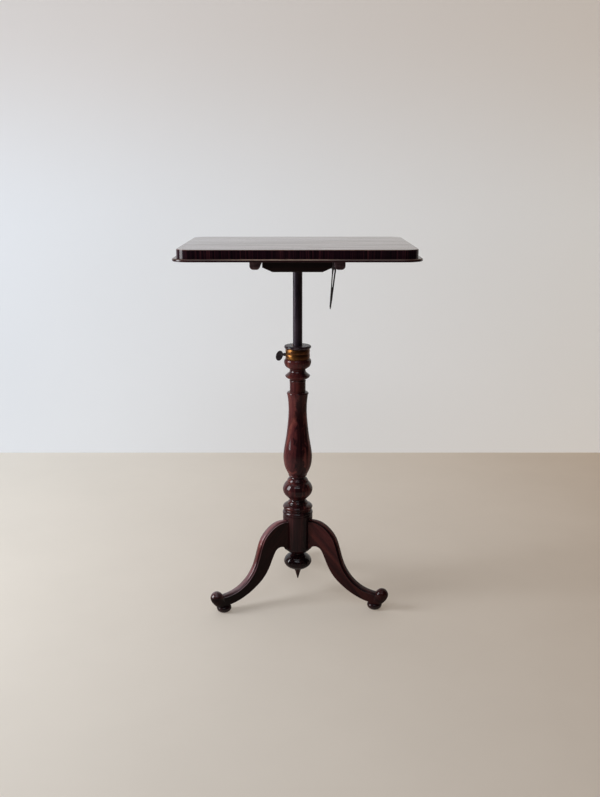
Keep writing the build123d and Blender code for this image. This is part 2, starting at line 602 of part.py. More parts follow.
# ------------------------------------------------------------------------- prop
with BuildPart() as prop_bracket:
    with BuildSketch(Plane(origin=(lug_x0, axis_y, 0), x_dir=(0, 1, 0), z_dir=(1, 0, 0))):
        Polygon((prop_y - plate_half, 779.4), (prop_y + plate_half, 779.4), (prop_y + plate_half, 791.6),
                (prop_y - plate_half, 791.6), align=None)
        Polygon((prop_y - 3.5, prop_z), (prop_y + 3.5, prop_z), (prop_y + 5.0, 780.0), (prop_y - 5.0, 780.0), align=None)
        with Locations((prop_y, prop_z)):
            Circle(3.5)
            Circle(prop_pin_r, mode=Mode.SUBTRACT)
    extrude(amount=lug_x1 - lug_x0)
    # boss that stands out over the prop's inner eye
    with BuildSketch(Plane(origin=(lug_x0 - 2.6, axis_y, 0), x_dir=(0, 1, 0), z_dir=(1, 0, 0))):
        Polygon((prop_y - 6.2, 791.6), (prop_y - 6.2, 777.0), (prop_y - 3.6, 771.6), (prop_y + 3.6, 771.6),
                (prop_y + 6.2, 777.0), (prop_y + 6.2, 791.6), align=None)
        with Locations((prop_y, prop_z)):
            Circle(3.7, mode=Mode.SUBTRACT)
    extrude(amount=2.6)
    for dy in (-10.4, 10.4):
        with BuildSketch(Plane(origin=(0, axis_y + prop_y + dy, 785.6), x_dir=(1, 0, 0), z_dir=(0, -1, 0))):
            Polygon((lug_x0 - 0.1, 0), (lug_x0 - 0.1, 2.7), (lug_x0 + 0.3, 2.7), (lug_x1 - 0.05, 1.4), (lug_x1 + 0.1, 1.4),
                    (lug_x1 + 0.1, 0), align=None)
        revolve(axis=Axis((0, axis_y + prop_y + dy, 785.6), (1, 0, 0)), mode=Mode.SUBTRACT)
prop_bracket.part.label = "prop_bracket"
export_step(prop_bracket.part, "parts/prop_bracket.step")

with BuildPart() as bracket_screws:
    for dy in (-10.4, 10.4):
        with BuildSketch(Plane(origin=(0, axis_y + prop_y + dy, 785.6), x_dir=(1, 0, 0), z_dir=(0, -1, 0))):
            Polygon((lug_x0 + 0.05, 0), (lug_x0 + 0.05, 2.6), (lug_x0 + 0.3, 2.7), (lug_x1 - 0.05, 1.4), (lug_x1 + 9.0, 1.4),
                    (lug_x1 + 11.6, 0), align=None)
        revolve(axis=Axis((0, axis_y + prop_y + dy, 785.6), (1, 0, 0)))
        with BuildSketch(Plane(origin=(lug_x0, axis_y + prop_y + dy, 785.6), x_dir=(0, 1, 0), z_dir=(1, 0, 0))):
            Rectangle(7.0, 0.7, rotation=dy * 6)
        extrude(amount=0.8, mode=Mode.SUBTRACT)
bracket_screws.part.label = "bracket_screws"
export_step(bracket_screws.part, "parts/bracket_screws.step")

# riveted pin through the eye plate and the prop's two eyes
with BuildPart() as prop_pin:
    with BuildSketch(Plane(origin=(0, axis_y + prop_y, prop_z), x_dir=(1, 0, 0), z_dir=(0, -1, 0))):
        with BuildLine():
            Polyline((70.5, 0), (70.5, 1.2), (71.0, 2.1), (71.4, 2.1), (71.4, prop_pin_r), (80.5, prop_pin_r), (80.5, 2.1),
                     (80.9, 2.1), (81.4, 1.2), (81.4, 0), (70.5, 0))
        make_face()
    revolve(axis=Axis((0, axis_y + prop_y, prop_z), (1, 0, 0)))
prop_pin.part.label = "prop_pin"
export_step(prop_pin.part, "parts/prop_pin.step")

# forged prop: two tines that meet and taper to a point
with BuildPart() as prop:
    with BuildSketch(Plane(origin=(0, axis_y + prop_y + 1.7, 0), x_dir=(1, 0, 0), z_dir=(0, -1, 0))):
        Polygon((71.6, 770.2), (71.6, 766.0), (71.3, 755.8), (70.4, 744.0), (69.7, 731.0), (68.9, 717.3), (68.1, 705.8),
                (67.1, 690.4), (67.9, 685.4), (68.3, 685.2), (69.1, 685.2), (69.5, 685.4), (70.3, 689.6), (72.7, 705.8),
                (74.0, 717.3), (75.7, 731.0), (77.3, 744.0), (78.6, 755.8), (80.3, 766.0), (80.3, 770.2), align=None)
        Polygon((75.0, 771.0), (75.0, 765.0), (73.6, 755.8), (72.6, 744.0), (72.2, 731.0), (72.9, 731.0), (74.3, 744.0),
                (75.7, 755.8), (76.9, 765.0), (76.9, 771.0), align=None, mode=Mode.SUBTRACT)
    extrude(amount=3.4)
    # eyes
    for x0, x1 in ((71.6, 75.0), (76.9, 80.3)):
        with BuildSketch(Plane(origin=(x0, axis_y + prop_y, prop_z), x_dir=(0, 1, 0), z_dir=(1, 0, 0))):
            Circle(3.4)
        extrude(amount=x1 - x0)
    with BuildSketch(Plane(origin=(70.0, axis_y + prop_y, prop_z), x_dir=(0, 1, 0), z_dir=(1, 0, 0))):
        Circle(prop_pin_r + 0.06)
    extrude(amount=12.0, mode=Mode.SUBTRACT)
    # the lower end is drawn out to a point front and back as well
    with BuildSketch(Plane(origin=(60.0, axis_y + prop_y, 0), x_dir=(0, 1, 0), z_dir=(1, 0, 0))):
        Polygon((0.5, 684.0), (1.7, 710.0), (4.0, 710.0), (4.0, 684.0), align=None)
        Polygon((-0.5, 684.0), (-1.7, 710.0), (-4.0, 710.0), (-4.0, 684.0), align=None)
    extrude(amount=20.0, mode=Mode.SUBTRACT)
prop.part.label = "prop"
export_step(prop.part, "parts/prop.step")
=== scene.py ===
import bpy
import math
from mathutils import Vector, Matrix

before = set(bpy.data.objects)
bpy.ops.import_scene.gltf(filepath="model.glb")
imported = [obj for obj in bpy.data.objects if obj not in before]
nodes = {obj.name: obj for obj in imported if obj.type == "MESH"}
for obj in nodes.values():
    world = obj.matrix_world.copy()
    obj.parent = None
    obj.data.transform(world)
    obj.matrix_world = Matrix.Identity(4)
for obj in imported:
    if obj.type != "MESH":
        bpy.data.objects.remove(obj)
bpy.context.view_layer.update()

scene = bpy.context.scene
AXIS_Y = -0.0128          # the column's axis


# ---------------------------------------------------------------- node helpers
def new_material(name):
    mat = bpy.data.materials.new(name)
    mat.use_nodes = True
    mat.node_tree.nodes.clear()
    return mat, mat.node_tree


def node(tree, kind, **values):
    n = tree.nodes.new(kind)
    for key, value in values.items():
        setattr(n, key, value)
    return n


def link(tree, a, b):
    tree.links.new(a, b)


def math_node(tree, operation, a, b=None, c=None, clamp=False):
    n = node(tree, "ShaderNodeMath", operation=operation, use_clamp=clamp)
    for i, v in enumerate((a, b, c)):
        if v is None:
            continue
        if isinstance(v, (int, float)):
            n.inputs[i].default_value = v
        else:
            link(tree, v, n.inputs[i])
    return n.outputs[0]


def ramp(tree, value, stops, interpolation="LINEAR"):
    n = node(tree, "ShaderNodeValToRGB")
    r = n.color_ramp
    r.interpolation = interpolation
    while len(r.elements) < len(stops):
        r.elements.new(0.5)
    for e, (pos, col) in zip(r.elements, stops):
        e.position = pos
        e.color = (*col, 1.0) if len(col) == 3 else col
    link(tree, value, n.inputs[0])
    return n.outputs[0]


def grey(v):
    return (v, v, v)


def mix_rgb(tree, factor, a, b, blend="MIX"):
    n = node(tree, "ShaderNodeMix", data_type="RGBA", blend_type=blend)
    n.clamp_factor = True
    for sock, v in ((n.inputs[0], factor), (n.inputs[6], a), (n.inputs[7], b)):
        if isinstance(v, (int, float)):
            sock.default_value = v
        elif isinstance(v, tuple):
            sock.default_value = (*v, 1.0) if len(v) == 3 else v
        else:
            link(tree, v, sock)
    return n.outputs[2]


def noise(tree, vector, scale, detail=2.0, rough=0.5, distortion=0.0, dims="3D", w=None):
    n = node(tree, "ShaderNodeTexNoise", noise_dimensions=dims)
    n.inputs["Scale"].default_value = scale
    n.inputs["Detail"].default_value = detail
    n.inputs["Roughness"].default_value = rough
    n.inputs["Distortion"].default_value = distortion
    if vector is not None and dims != "1D":
        link(tree, vector, n.inputs["Vector"])
    if w is not None:
        link(tree, w, n.inputs["W"])
    return n.outputs[0]


# ------------------------------------------------------------------- materials
def wood(name, grain=(0.0, 0.0, 0.0), pith=(0.07, 0.05), rings=190.0, warp=0.008,
         dark=(0.013, 0.0034, 0.0058), mid=(0.108, 0.0220, 0.0205), light=(0.265, 0.066, 0.044),
         streak=0.45, rough=(0.45, 0.60), coat=0.28, coat_rough=0.09, offset=(0.0, 0.0, 0.0), bump=0.35, crevice=0.97,
         wear=0.0, specular=0.03, seed=0.0, figure=0.35, lump=0.8, contrast=1.0, coat_up=None, painted_low_shade=None, painted_top_light=None, painted_side_shade=None,
         hollow=0.012, hollow_ramp=(0.46, 0.96), painted_top_sheen=None, quirk=None, shine_from=0.05, shine_to=0.45):
    """Solid rosewood: irregular growth rings round a pith that lies beside the piece, so that turning and carving
    cut them into real figure, with dark ink lines and pores, and with painted shade in the hollows. grain turns the
    piece's own axes so that the fibres run along local z."""
    mat, t = new_material(name)
    out = node(t, "ShaderNodeOutputMaterial")
    bsdf = node(t, "ShaderNodeBsdfPrincipled")
    link(t, bsdf.outputs[0], out.inputs[0])
    coord = node(t, "ShaderNodeTexCoord")
    place = node(t, "ShaderNodeMapping")
    place.inputs["Location"].default_value = offset
    place.inputs["Rotation"].default_value = grain
    link(t, coord.outputs["Object"], place.inputs[0])
    p = place.outputs[0]

    # slow waviness of the fibres
    slow = node(t, "ShaderNodeVectorMath", operation="MULTIPLY")
    slow.inputs[1].default_value = (9.0, 9.0, 3.2)
    link(t, p, slow.inputs[0])
    shift = node(t, "ShaderNodeTexNoise")
    shift.inputs["Scale"].default_value = 1.0
    shift.inputs["Detail"].default_value = 2.0
    link(t, slow.outputs[0], shift.inputs["Vector"])
    centred = node(t, "ShaderNodeVectorMath", operation="SUBTRACT")
    centred.inputs[1].default_value = (0.5, 0.5, 0.5)
    link(t, shift.outputs["Color"], centred.inputs[0])
    scaled = node(t, "ShaderNodeVectorMath", operation="SCALE")
    scaled.inputs["Scale"].default_value = warp * 2
    link(t, centred.outputs[0], scaled.inputs[0])
    warped = node(t, "ShaderNodeVectorMath", operation="ADD")
    link(t, p, warped.inputs[0])
    link(t, scaled.outputs[0], warped.inputs[1])

    sep = node(t, "ShaderNodeSeparateXYZ")
    link(t, warped.outputs[0], sep.inputs[0])
    dx = math_node(t, "ADD", sep.outputs[0], pith[0])
    dy = math_node(t, "ADD", sep.outputs[1], pith[1])
    rr = math_node(t, "SQRT", math_node(t, "ADD", math_node(t, "MULTIPLY", dx, dx), math_node(t, "MULTIPLY", dy, dy)))
    along = math_node(t, "MULTIPLY", sep.outputs[2], 0.012)
    radius = math_node(t, "ADD", rr, along)

    bands = noise(t, None, rings, 2.5, 0.6, 0.0, "1D", math_node(t, "ADD", radius, 11.3 + seed))
    lines = noise(t, None, rings * 3.1, 1.5, 0.6, 0.0, "1D", math_node(t, "ADD", radius, 37.7 + seed))

    fibre = node(t, "ShaderNodeVectorMath", operation="MULTIPLY")
    fibre.inputs[1].default_value = (1.0, 1.0, 0.045)
    link(t, warped.outputs[0], fibre.inputs[0])
    fine = noise(t, fibre.outputs[0], 900.0, 2.0, 0.6)
    broad = noise(t, fibre.outputs[0], 70.0, 3.0, 0.55, 0.3)
    pore_v = node(t, "ShaderNodeVectorMath", operation="MULTIPLY")
    pore_v.inputs[1].default_value = (1.0, 1.0, 0.06)
    link(t, p, pore_v.inputs[0])
    pores = noise(t, pore_v.outputs[0], 2100.0, 1.0, 0.5)

    tone = math_node(t, "ADD", math_node(t, "MULTIPLY", bands, figure), math_node(t, "MULTIPLY", broad, 1.0 - figure))
    base = ramp(t, tone, [(0.5 - 0.20 * contrast, dark), (0.5 - 0.05 * contrast, tuple(0.45 * a + 0.55 * b for a, b in zip(dark, mid))),
                          (0.5 + 0.03 * contrast, mid), (0.5 + 0.20 * contrast, light)])
    # the dark ink lines come and go along the piece
    fade_v = node(t, "ShaderNodeVectorMath", operation="MULTIPLY")
    fade_v.inputs[1].default_value = (1.0, 1.0, 0.35)
    link(t, p, fade_v.inputs[0])
    fade = ramp(t, noise(t, fade_v.outputs[0], 38.0, 2.0, 0.55), [(0.40, grey(0.15)), (0.60, grey(1.0))])
    ink = ramp(t, lines, [(0.33, grey(1.0)), (0.45, grey(0.0))])
    ink2 = math_node(t, "MULTIPLY", math_node(t, "MULTIPLY", ink, fade), streak)
    col = mix_rgb(t, ink2, base, tuple(0.55 * c for c in dark))
    col = mix_rgb(t, math_node(t, "MULTIPLY", ramp(t, fine, [(0.35, grey(1.0)), (0.55, grey(0.0))]), 0.35), col, dark)
    pore_mask = ramp(t, pores, [(0.30, grey(1.0)), (0.37, grey(0.0))])
    col = mix_rgb(t, math_node(t, "MULTIPLY", pore_mask, 0.55), col, (0.010, 0.005, 0.005))

    # painted shade: the colour is darkened in hollows, creases and between parts, where shade falls
    if crevice > 0:
        ao = node(t, "ShaderNodeAmbientOcclusion", samples=6, only_local=True)
        ao.inputs["Distance"].default_value = hollow
        painted_hollow_shade = ramp(t, ao.outputs["AO"], [(hollow_ramp[0], grey(crevice)), (hollow_ramp[1], grey(0.0))])
        col = mix_rgb(t, painted_hollow_shade, col, (0.008, 0.004, 0.005))
    if painted_side_shade is not None:
        # painted shade: a nearly black band runs down the side of the piece turned away from the window, its edge made
        # to waver: (angle, centre, half width, amount)
        va, vc, vw, vk = painted_side_shade
        vx = node(t, "ShaderNodeVectorMath", operation="DOT_PRODUCT")
        vx.inputs[1].default_value = (math.cos(va), math.sin(va), 0.0)
        moved = node(t, "ShaderNodeVectorMath", operation="SUBTRACT")
        moved.inputs[1].default_value = (0.0, AXIS_Y, 0.0)
        link(t, coord.outputs["Object"], moved.inputs[0])
        link(t, moved.outputs[0], vx.inputs[0])
        sway_v = node(t, "ShaderNodeVectorMath", operation="MULTIPLY")
        sway_v.inputs[1].default_value = (1.0, 1.0, 0.45)
        link(t, coord.outputs["Object"], sway_v.inputs[0])
        sway = noise(t, sway_v.outputs[0], 62.0, 3.0, 0.6, 0.8)
        off = math_node(t, "SUBTRACT", math_node(t, "ADD", vx.outputs["Value"],
                                                 math_node(t, "MULTIPLY", math_node(t, "SUBTRACT", sway, 0.5), 0.050)), vc)
        near = math_node(t, "DIVIDE", math_node(t, "ABSOLUTE", off), vw)
        side_shaded = ramp(t, near, [(0.55, grey(1.0)), (1.0, grey(0.0))])
        col = mix_rgb(t, math_node(t, "MULTIPLY", side_shaded, vk), col, tuple(0.75 * c for c in dark))
    if painted_low_shade is not None:
        # painted shade: the wood is darker low down: (height, factor) from low to high
        world = node(t, "ShaderNodeSeparateXYZ")
        link(t, coord.outputs["Object"], world.inputs[0])
        level = node(t, "ShaderNodeMapRange", interpolation_type="SMOOTHSTEP")
        for key, value in (("From Min", painted_low_shade[0][0]), ("From Max", painted_low_shade[1][0]), ("To Min", painted_low_shade[0][1]), ("To Max", painted_low_shade[1][1])):
            level.inputs[key].default_value = value
        link(t, world.outputs[2], level.inputs["Value"])
        deeper = node(t, "ShaderNodeVectorMath", operation="SCALE")
        link(t, col, deeper.inputs[0])
        link(t, level.outputs[0], deeper.inputs["Scale"])
        col = deeper.outputs[0]
    if painted_top_light is not None:
        # painted light: faces turned up, towards the light, are made a lighter red
        unlit_col = col
        face = node(t, "ShaderNodeNewGeometry")
        face_up = node(t, "ShaderNodeSeparateXYZ")
        link(t, face.outputs["Normal"], face_up.inputs[0])
        top_lit = node(t, "ShaderNodeMapRange", interpolation_type="SMOOTHSTEP")
        for key, value in (("From Min", 0.08), ("From Max", 0.50), ("To Min", 1.0), ("To Max", painted_top_light)):
            top_lit.inputs[key].default_value = value
        link(t, face_up.outputs[2], top_lit.inputs["Value"])
        top_lightened = node(t, "ShaderNodeVectorMath", operation="SCALE")
        link(t, col, top_lightened.inputs[0])
        link(t, top_lit.outputs[0], top_lightened.inputs["Scale"])
        col = top_lightened.outputs[0]
        if painted_top_sheen is not None:
            # painted highlight: up-facing faces are mixed in patches towards a pinkish grey, standing in for the
            # window's sheen on them
            sheen_mask = node(t, "ShaderNodeMapRange", interpolation_type="SMOOTHSTEP")
            for key, value in (("From Min", 0.25), ("From Max", 0.60), ("To Min", 0.0), ("To Max", painted_top_sheen)):
                sheen_mask.inputs[key].default_value = value
            link(t, face_up.outputs[2], sheen_mask.inputs["Value"])
            thin = math_node(t, "MULTIPLY", sheen_mask.outputs[0],
                             ramp(t, noise(t, p, 40.0, 3.0, 0.6), [(0.35, grey(0.45)), (0.60, grey(1.0))]))
            col = mix_rgb(t, thin, col, (0.36, 0.24, 0.27))
        if quirk is not None:
            # the painted top light and painted highlight are weaker on the toe, which keeps more of its unlit colour
            toe_from = node(t, "ShaderNodeVectorMath", operation="SUBTRACT")
            toe_from.inputs[1].default_value = (0.0, AXIS_Y, 0.0)
            link(t, coord.outputs["Object"], toe_from.inputs[0])
            toe_out = node(t, "ShaderNodeVectorMath", operation="DOT_PRODUCT")
            toe_out.inputs[1].default_value = (math.cos(quirk[0]), math.sin(quirk[0]), 0.0)
            link(t, toe_from.outputs[0], toe_out.inputs[0])
            toe = node(t, "ShaderNodeMapRange", interpolation_type="SMOOTHSTEP")
            for key, value in (("From Min", 0.172), ("From Max", 0.186), ("To Min", 1.0), ("To Max", 0.45)):
                toe.inputs[key].default_value = value
            link(t, toe_out.outputs["Value"], toe.inputs["Value"])
            col = mix_rgb(t, toe.outputs[0], unlit_col, col)
    painted_quirk_shade = None
    if quirk is not None:
        # painted shade: black along both sides of the bead on top of the leg, in the quirk where shade falls: (leg's
        # angle, amount)
        qa, qk = quirk
        from_axis = node(t, "ShaderNodeVectorMath", operation="SUBTRACT")
        from_axis.inputs[1].default_value = (0.0, AXIS_Y, 0.0)
        link(t, coord.outputs["Object"], from_axis.inputs[0])
        parts = []
        for direction in ((-math.sin(qa), math.cos(qa), 0.0), (math.cos(qa), math.sin(qa), 0.0)):
            d = node(t, "ShaderNodeVectorMath", operation="DOT_PRODUCT")
            d.inputs[1].default_value = direction
            link(t, from_axis.outputs[0], d.inputs[0])
            parts.append(d.outputs["Value"])
        q_face = node(t, "ShaderNodeNewGeometry")
        q_up = node(t, "ShaderNodeSeparateXYZ")
        link(t, q_face.outputs["Normal"], q_up.inputs[0])
        painted_quirk_shade = None
        for value, low, high, at_low, at_high in ((math_node(t, "ABSOLUTE", parts[0]), 0.0056, 0.0068, 0.0, 1.0),
                                                  (math_node(t, "ABSOLUTE", parts[0]), 0.0099, 0.0105, 1.0, 0.0),
                                                  (parts[1], 0.174, 0.182, 1.0, 0.0),
                                                  (q_up.outputs[2], 0.0, 0.12, 0.0, 1.0)):
            step = node(t, "ShaderNodeMapRange", interpolation_type="SMOOTHSTEP")
            for key, v in (("From Min", low), ("From Max", high), ("To Min", at_low), ("To Max", at_high)):
                step.inputs[key].default_value = v
            link(t, value, step.inputs["Value"])
            painted_quirk_shade = step.outputs[0] if painted_quirk_shade is None else math_node(t, "MULTIPLY", painted_quirk_shade, step.outputs[0])
        painted_quirk_shade = math_node(t, "MULTIPLY", painted_quirk_shade, qk)
        col = mix_rgb(t, painted_quirk_shade, col, (0.006, 0.003, 0.004))
    patches = noise(t, p, 14.0, 3.0, 0.6)
    if wear > 0:
        bev = node(t, "ShaderNodeBevel", samples=4)
        bev.inputs["Radius"].default_value = 0.0018
        geo = node(t, "ShaderNodeNewGeometry")
        dot = node(t, "ShaderNodeVectorMath", operation="DOT_PRODUCT")
        link(t, bev.outputs[0], dot.inputs[0])
        link(t, geo.outputs["Normal"], dot.inputs[1])
        edge = ramp(t, dot.outputs["Value"], [(0.80, grey(1.0)), (0.97, grey(0.0))])
        edge = math_node(t, "MULTIPLY", edge, ramp(t, patches, [(0.38, grey(0.15)), (0.62, grey(1.0))]))
        col = mix_rgb(t, math_node(t, "MULTIPLY", edge, wear), col, tuple(min(1.0, 1.5 * c + 0.01) for c in light))
    link(t, col, bsdf.inputs["Base Color"])

    smudge = noise(t, p, 46.0, 4.0, 0.65)
    r1 = node(t, "ShaderNodeMapRange")
    r1.inputs["From Min"].default_value = 0.3
    r1.inputs["From Max"].default_value = 0.7
    r1.inputs["To Min"].default_value = rough[0]
    r1.inputs["To Max"].default_value = rough[1]
    link(t, smudge, r1.inputs["Value"])
    link(t, r1.outputs[0], bsdf.inputs["Roughness"])
    bsdf.inputs["Specular IOR Level"].default_value = specular
    if coat_up is None:
        bsdf.inputs["Coat Weight"].default_value = coat
    else:
        # hands and dusters keep the upper faces brighter than the sides
        facing = node(t, "ShaderNodeNewGeometry")
        split = node(t, "ShaderNodeSeparateXYZ")
        link(t, facing.outputs["Normal"], split.inputs[0])
        shine = node(t, "ShaderNodeMapRange", interpolation_type="SMOOTHSTEP")
        for key, value in (("From Min", shine_from), ("From Max", shine_to), ("To Min", coat), ("To Max", coat_up)):
            shine.inputs[key].default_value = value
        link(t, split.outputs[2], shine.inputs["Value"])
        weight = shine.outputs[0]
        if painted_quirk_shade is not None:
            weight = math_node(t, "MULTIPLY", weight, math_node(t, "SUBTRACT", 1.0, painted_quirk_shade))
        link(t, weight, bsdf.inputs["Coat Weight"])
    bsdf.inputs["Coat Roughness"].default_value = coat_rough
    bsdf.inputs["Coat IOR"].default_value = 1.52

    height = math_node(t, "ADD", math_node(t, "MULTIPLY", pore_mask, -0.6), math_node(t, "MULTIPLY", fine, 0.25))
    height = math_node(t, "ADD", height, math_node(t, "MULTIPLY", patches, lump))
    b = node(t, "ShaderNodeBump")
    b.inputs["Strength"].default_value = bump
    b.inputs["Distance"].default_value = 0.00025
    link(t, height, b.inputs["Height"])
    link(t, b.outputs[0], bsdf.inputs["Normal"])
    return mat


def metal(name, base, second, rough=(0.28, 0.5), metallic=1.0, streak_axis=None, scale=60.0, bump=0.25, spots=0.35,
          spot_colour=(0.03, 0.018, 0.012), edge=None, edge_mix=0.5, crevice=0.7, pit=1.0, specular=0.5):
    """Old metal: two tones in patches, tarnish spots, dark hollows and rubbed edges."""
    mat, t = new_material(name)
    out = node(t, "ShaderNodeOutputMaterial")
    bsdf = node(t, "ShaderNodeBsdfPrincipled")
    link(t, bsdf.outputs[0], out.inputs[0])
    coord = node(t, "ShaderNodeTexCoord")
    p = coord.outputs["Object"]
    stretch = node(t, "ShaderNodeVectorMath", operation="MULTIPLY")
    stretch.inputs[1].default_value = streak_axis or (1.0, 1.0, 1.0)
    link(t, p, stretch.inputs[0])
    v = stretch.outputs[0]
    patch = noise(t, v, scale, 4.0, 0.6, 0.4)
    col = mix_rgb(t, ramp(t, patch, [(0.35, grey(0.0)), (0.65, grey(1.0))]), base, second)
    spot = noise(t, p, scale * 4.5, 3.0, 0.7)
    col = mix_rgb(t, math_node(t, "MULTIPLY", ramp(t, spot, [(0.56, grey(0.0)), (0.68, grey(1.0))]), spots), col, spot_colour)
    if edge is not None:
        bev = node(t, "ShaderNodeBevel", samples=4)
        bev.inputs["Radius"].default_value = 0.0008
        geo = node(t, "ShaderNodeNewGeometry")
        dot = node(t, "ShaderNodeVectorMath", operation="DOT_PRODUCT")
        link(t, bev.outputs[0], dot.inputs[0])
        link(t, geo.outputs["Normal"], dot.inputs[1])
        mask = ramp(t, dot.outputs["Value"], [(0.82, grey(1.0)), (0.97, grey(0.0))])
        mask = math_node(t, "MULTIPLY", mask, ramp(t, patch, [(0.35, grey(0.2)), (0.6, grey(1.0))]))
        col = mix_rgb(t, math_node(t, "MULTIPLY", mask, edge_mix), col, edge)
    if crevice > 0:
        ao = node(t, "ShaderNodeAmbientOcclusion", samples=6, only_local=True)
        ao.inputs["Distance"].default_value = 0.005
        col = mix_rgb(t, ramp(t, ao.outputs["AO"], [(0.35, grey(crevice)), (0.9, grey(0.0))]), col, spot_colour)
    link(t, col, bsdf.inputs["Base Color"])
    bsdf.inputs["Metallic"].default_value = metallic
    bsdf.inputs["Specular IOR Level"].default_value = specular
    fine = noise(t, v, scale * 12, 2.0, 0.6)
    r1 = node(t, "ShaderNodeMapRange")
    r1.inputs["From Min"].default_value = 0.3
    r1.inputs["From Max"].default_value = 0.7
    r1.inputs["To Min"].default_value = rough[0]
    r1.inputs["To Max"].default_value = rough[1]
    link(t, math_node(t, "ADD", math_node(t, "MULTIPLY", patch, 0.6), math_node(t, "MULTIPLY", fine, 0.4)), r1.inputs["Value"])
    link(t, r1.outputs[0], bsdf.inputs["Roughness"])
    height = math_node(t, "ADD", math_node(t, "MULTIPLY", spot, pit), math_node(t, "MULTIPLY", fine, 0.4))
    b = node(t, "ShaderNodeBump")
    b.inputs["Strength"].default_value = bump
    b.inputs["Distance"].default_value = 0.0002
    link(t, height, b.inputs["Height"])
    link(t, b.outputs[0], bsdf.inputs["Normal"])
    return mat


HALF = math.pi / 2

turned = wood("turned_rosewood", pith=(0.035, 0.060), rings=70.0, warp=0.034, wear=0.25, figure=0.5, streak=0.4,
              coat=0.26, coat_up=0.7, painted_low_shade=((0.20, 0.55), (0.34, 1.0)), contrast=1.0, painted_side_shade=(-0.25, 0.013, 0.013, 0.8),
              dark=(0.014, 0.004, 0.007), mid=(0.126, 0.027, 0.027), light=(0.300, 0.082, 0.062))
cap_wood = wood("cap_rosewood", pith=(0.045, 0.085), rings=140.0, warp=0.010, offset=(0.02, 0.01, 0.3), wear=0.25, seed=3.0,
                dark=(0.014, 0.008, 0.011), mid=(0.048, 0.026, 0.032), light=(0.105, 0.062, 0.066), coat=0.5)
upper_wood = wood("upper_rosewood", pith=(-0.05, 0.07), rings=120.0, warp=0.012, offset=(0.01, 0.03, 0.1), wear=0.25, seed=5.0, coat_up=0.8, painted_side_shade=(0.3, 0.010, 0.008, 0.6))
hub_wood = wood("hub_rosewood", pith=(0.06, -0.05), rings=120.0, warp=0.012, offset=(0.0, 0.04, 0.2), wear=0.2, seed=7.0,
                dark=(0.009, 0.0028, 0.004), mid=(0.040, 0.0105, 0.012), light=(0.120, 0.033, 0.030), figure=0.45, coat=0.25, coat_up=0.8,
                painted_low_shade=((0.05, 0.45), (0.19, 1.0)), painted_side_shade=(-0.1, 0.024, 0.010, 0.75))


def leg_wood(name, angle, seed, tone=1.0, painted_top_light=1.5, coat_up=0.75, painted_top_sheen=None, quirk_shade_amount=0.6):
    turn = Matrix.Rotation(math.radians(47.0), 3, "Y") @ Matrix.Rotation(-math.radians(angle), 3, "Z")
    # fibres run down and outwards along the leg: turn the leg's own plane upright, then lean the grain
    return wood(name, grain=tuple(turn.to_euler("XYZ")), pith=(0.10, 0.03), rings=70.0, warp=0.022, wear=0.4, painted_top_light=painted_top_light,
                offset=(0.0, 0.0128, 0.0), seed=seed, figure=0.14, streak=0.22, hollow=0.012, hollow_ramp=(0.66, 0.985), crevice=0.98, contrast=1.5, painted_top_sheen=painted_top_sheen, quirk=(math.radians(angle), quirk_shade_amount),
                dark=(0.013 * tone, 0.0034 * tone, 0.0055 * tone), mid=(0.086 * tone, 0.0180 * tone, 0.0165 * tone),
                light=(0.145 * tone, 0.036 * tone, 0.027 * tone), coat=0.15, coat_up=coat_up, painted_low_shade=((0.02, 0.45), (0.17, 1.0)))


# painted light and shade: each leg gets its own tone, top light, sheen and quirk shade after how the window's light
# reaches it; the left leg has the darkest sides and the lightest top
leg_mats = {n: leg_wood(f"{n}_rosewood", a, s, k, u, c, d, w)
            for n, a, s, k, u, c, d, w in (("leg_left", 211.2, 2.0, 0.38, 8.4, 1.0, 0.36, 0.18),
                                           ("leg_right", 333.8, 5.0, 0.76, 1.5, 0.38, None, 0.95),
                                           ("leg_rear", 92.5, 6.0, 0.6, 2.0, 0.75, None, 0.8))}
foot_wood = wood("foot_rosewood", pith=(0.05, 0.05), rings=140.0, warp=0.010, seed=9.0, wear=0.2,
                 dark=(0.006, 0.002, 0.003), mid=(0.022, 0.006, 0.007), light=(0.060, 0.017, 0.015), coat=0.40, coat_rough=0.06)
veneer = wood("top_rosewood_veneer", grain=(0.0, HALF, 0.0), pith=(0.012, 0.30), rings=62.0, warp=0.016, bump=0.05, crevice=0.0,
              coat=0.83, coat_rough=0.04, rough=(0.30, 0.40), wear=0.0, seed=1.0, lump=0.0, specular=0.15, figure=0.55,
              dark=(0.034, 0.011, 0.009), mid=(0.120, 0.042, 0.026), light=(0.265, 0.098, 0.052), contrast=0.92)
banding = wood("cross_banding", grain=(0.0, 0.0, 0.0), pith=(0.4, 0.31), rings=240.0, warp=0.008, coat=0.45, coat_rough=0.05,
               dark=(0.005, 0.0015, 0.0038), mid=(0.026, 0.0068, 0.0125), light=(0.092, 0.023, 0.028), crevice=0.0, bump=0.08,
               wear=0.0, seed=12.0, lump=0.3, figure=0.6)
moulding = wood("moulding_rosewood", grain=(0.0, HALF, 0.0), pith=(0.02, 0.25), rings=120.0, warp=0.006, coat=0.0, coat_up=0.7, shine_from=-0.8, shine_to=0.0, coat_rough=0.10,
                dark=(0.012, 0.004, 0.006), mid=(0.050, 0.014, 0.016), light=(0.11, 0.032, 0.028),
                wear=0.4, seed=13.0, bump=0.12, crevice=0.3, lump=0.3)
ground = wood("ground_board", grain=(0.0, HALF, 0.0), pith=(0.03, 0.35), rings=90.0, warp=0.010,
              dark=(0.050, 0.021, 0.014), mid=(0.105, 0.046, 0.028), light=(0.160, 0.076, 0.046), streak=0.35,
              coat=0.0, rough=(0.5, 0.7), crevice=0.5, bump=0.6, seed=15.0)
